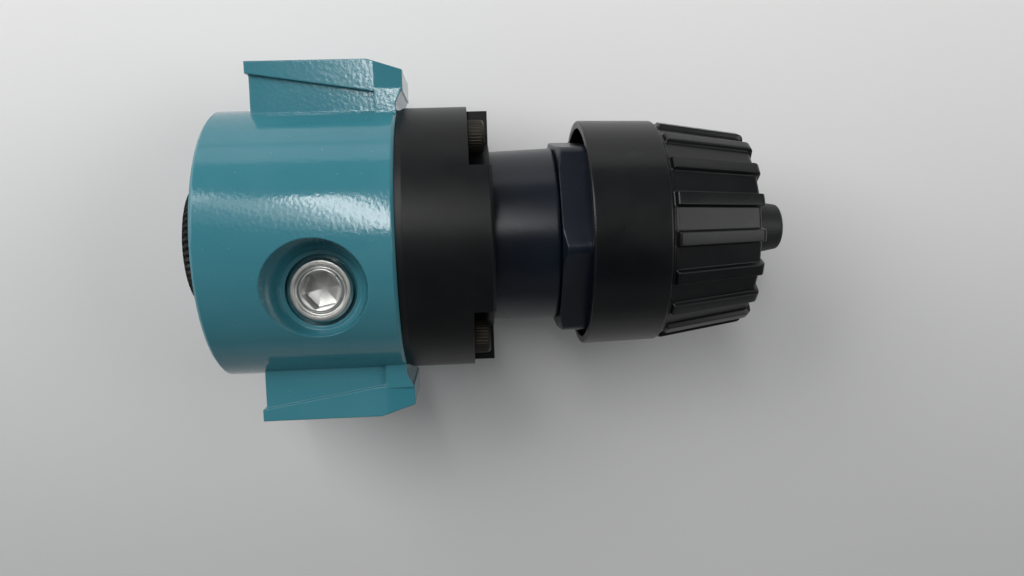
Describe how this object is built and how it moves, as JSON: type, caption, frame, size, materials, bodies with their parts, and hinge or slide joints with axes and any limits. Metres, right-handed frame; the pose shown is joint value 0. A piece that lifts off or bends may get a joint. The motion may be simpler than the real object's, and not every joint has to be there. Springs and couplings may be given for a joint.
{
  "type": "air pressure regulator",
  "caption": "Relieving air pressure regulator: die-cast body with threaded port flanges, plugged gauge port, screwed clamp ring, spring cage, panel nut and ribbed adjusting knob.",
  "frame": {"origin": "on the flat at the back of the body, straight below the point where the port axis crosses the main axis", "axes": "+X along the main axis from the bottom plug to the knob; +Y along the port axis from the inlet to the outlet; +Z towards the gauge port, away from the surface that the regulator lies on"},
  "size_m": [0.131, 0.0762, 0.057],
  "materials": {
    "teal_paint": "semi-gloss powder coat with a slight orange-peel texture",
    "black_plastic": "matte, finely grained glass-filled nylon",
    "navy_plastic": "satin, blue-black moulding",
    "zinc_plate": "zinc-plated and slightly dull",
    "brass": "turned",
    "steel": "bright drawn and turned",
    "black_steel": "black oxide with an oily brown tinge",
    "rubber": "matte nitrile rubber"
  },
  "bodies": {
    "regulator": {"body": "teal_paint", "bottom_plug": "black_plastic", "bottom_plug_seal": "rubber", "gauge_plug": "zinc_plate", "gauge_plug_seal": "rubber", "valve_seat": "brass", "valve_seat_seal": "rubber", "valve_tail_seal": "rubber", "valve_spring": "steel", "aspirator_tube": "brass", "diaphragm": "rubber", "clamp_ring": "black_plastic", "clamp_screws": "black_steel", "spring_cage": "navy_plastic", "panel_nut": "black_plastic", "thrust_washer": "brass", "lock_ring": "steel", "regulating_spring": "steel"},
    "valve": {"valve_disc": "brass", "valve_disc_seal": "rubber", "valve_stem": "steel"},
    "diaphragm_centre": {"diaphragm_stud": "brass", "diaphragm_plate": "zinc_plate"},
    "drive": {"adjusting_screw": "steel", "knob_washer": "steel", "knob_screw": "steel"},
    "spring_carrier": {"spring_nut": "brass"},
    "grip": {"knob": "black_plastic", "knob_cap": "black_plastic"}
  },
  "joints": [
    {"name": "knob_turn", "type": "hinge", "parent": "regulator", "child": "drive", "pos_m": [0.06, 0, 0.028], "axis": [1, 0, 0], "range_deg": [-900, 900]},
    {"name": "knob_lock", "type": "slide", "parent": "drive", "child": "grip", "axis": [1, 0, 0], "range_m": [-0.003, 0]},
    {"name": "spring_nut_travel", "type": "slide", "parent": "regulator", "child": "spring_carrier", "axis": [1, 0, 0], "range_m": [-0.0038, 0.0038], "deforming": ["regulating_spring"]},
    {"name": "diaphragm_stroke", "type": "slide", "parent": "regulator", "child": "diaphragm_centre", "axis": [1, 0, 0], "range_m": [-0.0015, 0], "stiffness_N_per_m": 1500, "deforming": ["diaphragm", "regulating_spring"]},
    {"name": "valve_stroke", "type": "slide", "parent": "regulator", "child": "valve", "axis": [1, 0, 0], "range_m": [-0.0015, 0], "deforming": ["valve_spring"]}
  ],
  "couplings": [
    {"joint": "spring_nut_travel", "follows": "knob_turn", "m_per_rad": 0.00023873},
    {"joint": "valve_stroke", "follows": "diaphragm_stroke", "ratio": 1}
  ]
}
